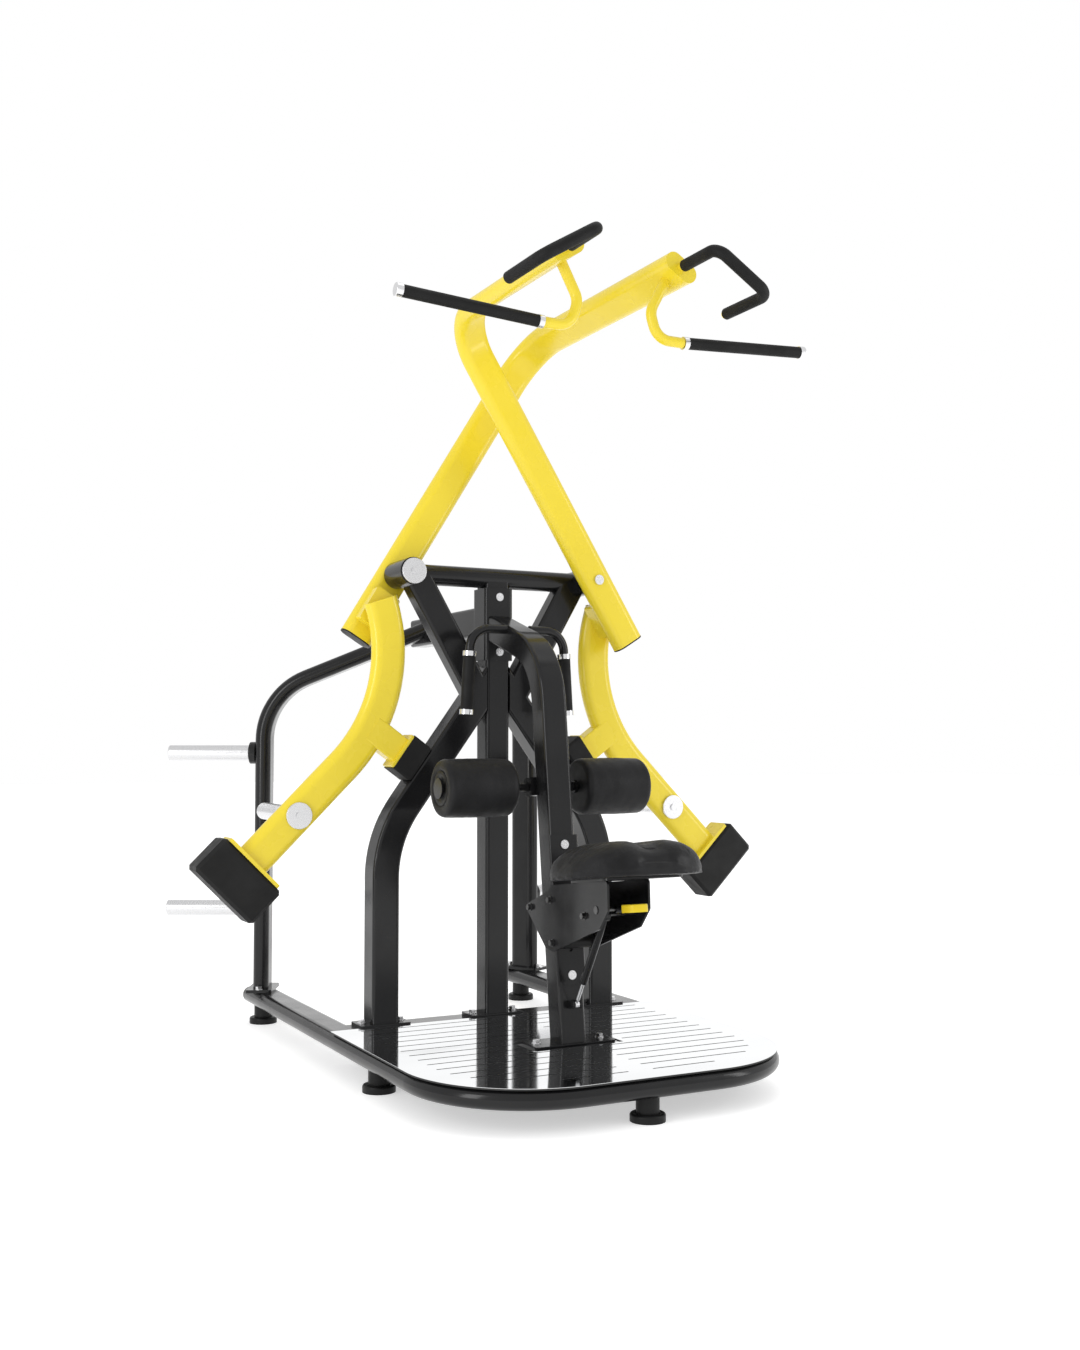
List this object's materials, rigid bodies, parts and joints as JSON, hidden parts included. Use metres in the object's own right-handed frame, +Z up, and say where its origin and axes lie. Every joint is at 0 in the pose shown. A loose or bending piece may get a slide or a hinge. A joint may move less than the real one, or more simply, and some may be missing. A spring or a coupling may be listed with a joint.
{
  "type": "plate-loaded lat pulldown machine",
  "caption": "Plate-loaded pulldown machine with crossed pivoting levers, curved load arms, height-adjustable seat, thigh rollers, footplate and plate storage posts.",
  "frame": {"origin": "on the floor, in the middle of the machine's footprint box", "axes": "+X towards the machine's right-hand lever pivot, +Y from the seat towards the plate storage posts, +Z up"},
  "size_m": [1.787, 1.8592, 2.1783],
  "materials": {
    "black_paint": "gloss powder coat",
    "yellow_paint": "gloss powder coat",
    "polished_plate": "polished sheet with straight grooves",
    "silver_steel": "turned and plated",
    "chrome_trim": "polished",
    "black_plastic": "moulded, satin",
    "yellow_plastic": "moulded, gloss",
    "black_rubber": "matte",
    "black_iron": "matte black coat",
    "black_vinyl": "fine-grained synthetic cover over foam"
  },
  "bodies": {
    "frame": {"assist_bars": "black_paint", "assist_collars": "chrome_trim", "assist_grips": "black_rubber", "base_beams": "black_paint", "base_rail": "black_paint", "column": "black_paint", "column_sleeve": "black_paint", "cross_tube": "black_paint", "footplate": "polished_plate", "frame_bolts": "silver_steel", "leveling_feet": "black_plastic", "pivot_bearings": "silver_steel", "pivot_housings": "black_paint", "rail_plugs": "black_plastic", "rear_posts": "black_paint", "rear_spine": "black_paint", "roller_axle": "black_paint", "roller_bracket": "black_paint", "seat_guide": "black_paint", "seat_post": "black_paint", "storage_flanges": "black_paint", "storage_horns": "silver_steel", "strut_bracket": "black_paint", "uprights": "black_paint", "v_braces": "black_paint"},
    "lever_left": {"lever_tube_left": "yellow_paint", "lever_plug_left": "black_plastic", "pivot_shaft_left": "silver_steel", "arm_left": "yellow_paint", "bumper_left": "black_rubber", "counterweight_left": "black_iron", "loading_horn_left": "silver_steel", "upper_bar_left": "yellow_paint", "upper_grip_left": "black_rubber", "lower_bar_left": "yellow_paint", "lower_grip_left": "black_rubber", "grip_collars_left": "chrome_trim"},
    "lever_right": {"lever_tube_right": "yellow_paint", "lever_plug_right": "black_plastic", "pivot_shaft_right": "silver_steel", "arm_right": "yellow_paint", "bumper_right": "black_rubber", "counterweight_right": "black_iron", "loading_horn_right": "silver_steel", "upper_bar_right": "yellow_paint", "upper_grip_right": "black_rubber", "lower_bar_right": "yellow_paint", "lower_grip_right": "black_rubber", "grip_collars_right": "chrome_trim"},
    "seat": {"seat_carriage": "black_paint", "seat_glides": "black_plastic", "carriage_bolts": "silver_steel", "seat_pad": "black_vinyl"},
    "release": {"release_lever": "black_paint", "lever_paddle": "yellow_plastic"},
    "strut_rod": {"strut_rod": "chrome_trim"},
    "strut_cylinder": {"strut_cylinder": "black_paint"},
    "roller_left": {"thigh_roller_left": "black_vinyl"},
    "roller_right": {"thigh_roller_right": "black_vinyl"}
  },
  "joints": [
    {"name": "lever_left_pivot", "type": "hinge", "parent": "frame", "child": "lever_left", "pos_m": [-0.29, 0, 1.4], "axis": [0, 1, 0], "range_deg": [0, 45]},
    {"name": "lever_right_pivot", "type": "hinge", "parent": "frame", "child": "lever_right", "pos_m": [0.29, 0, 1.4], "axis": [0, -1, 0], "range_deg": [0, 45]},
    {"name": "seat_height", "type": "slide", "parent": "frame", "child": "seat", "axis": [0, 0.1201, 0.9928], "range_m": [-0.06, 0.06]},
    {"name": "release_pivot", "type": "hinge", "parent": "seat", "child": "release", "pos_m": [0, -0.69986, 0.49211], "axis": [-1, 0, 0], "range_deg": [0, 15], "stiffness_Nm_per_rad": 0.5, "springref_deg": -22.92},
    {"name": "strut_swing", "type": "hinge", "parent": "frame", "child": "strut_rod", "pos_m": [0, -0.48397, 0.22021], "axis": [1, 0, 0], "range_deg": [-7.4, 7.4]},
    {"name": "strut_extend", "type": "slide", "parent": "strut_rod", "child": "strut_cylinder", "axis": [0, -0.5268, 0.85], "range_m": [-0.047, 0.047]},
    {"name": "roller_left_spin", "type": "hinge", "parent": "frame", "child": "roller_left", "pos_m": [-0.2, -0.29394, 0.78749], "axis": [1, 0, 0], "continuous": true},
    {"name": "roller_right_spin", "type": "hinge", "parent": "frame", "child": "roller_right", "pos_m": [0.2, -0.29394, 0.78749], "axis": [1, 0, 0], "continuous": true}
  ],
  "couplings": [
    {"joint": "strut_swing", "follows": "seat_height", "rad_per_m": -2.12},
    {"joint": "strut_extend", "follows": "seat_height", "ratio": 0.774}
  ]
}
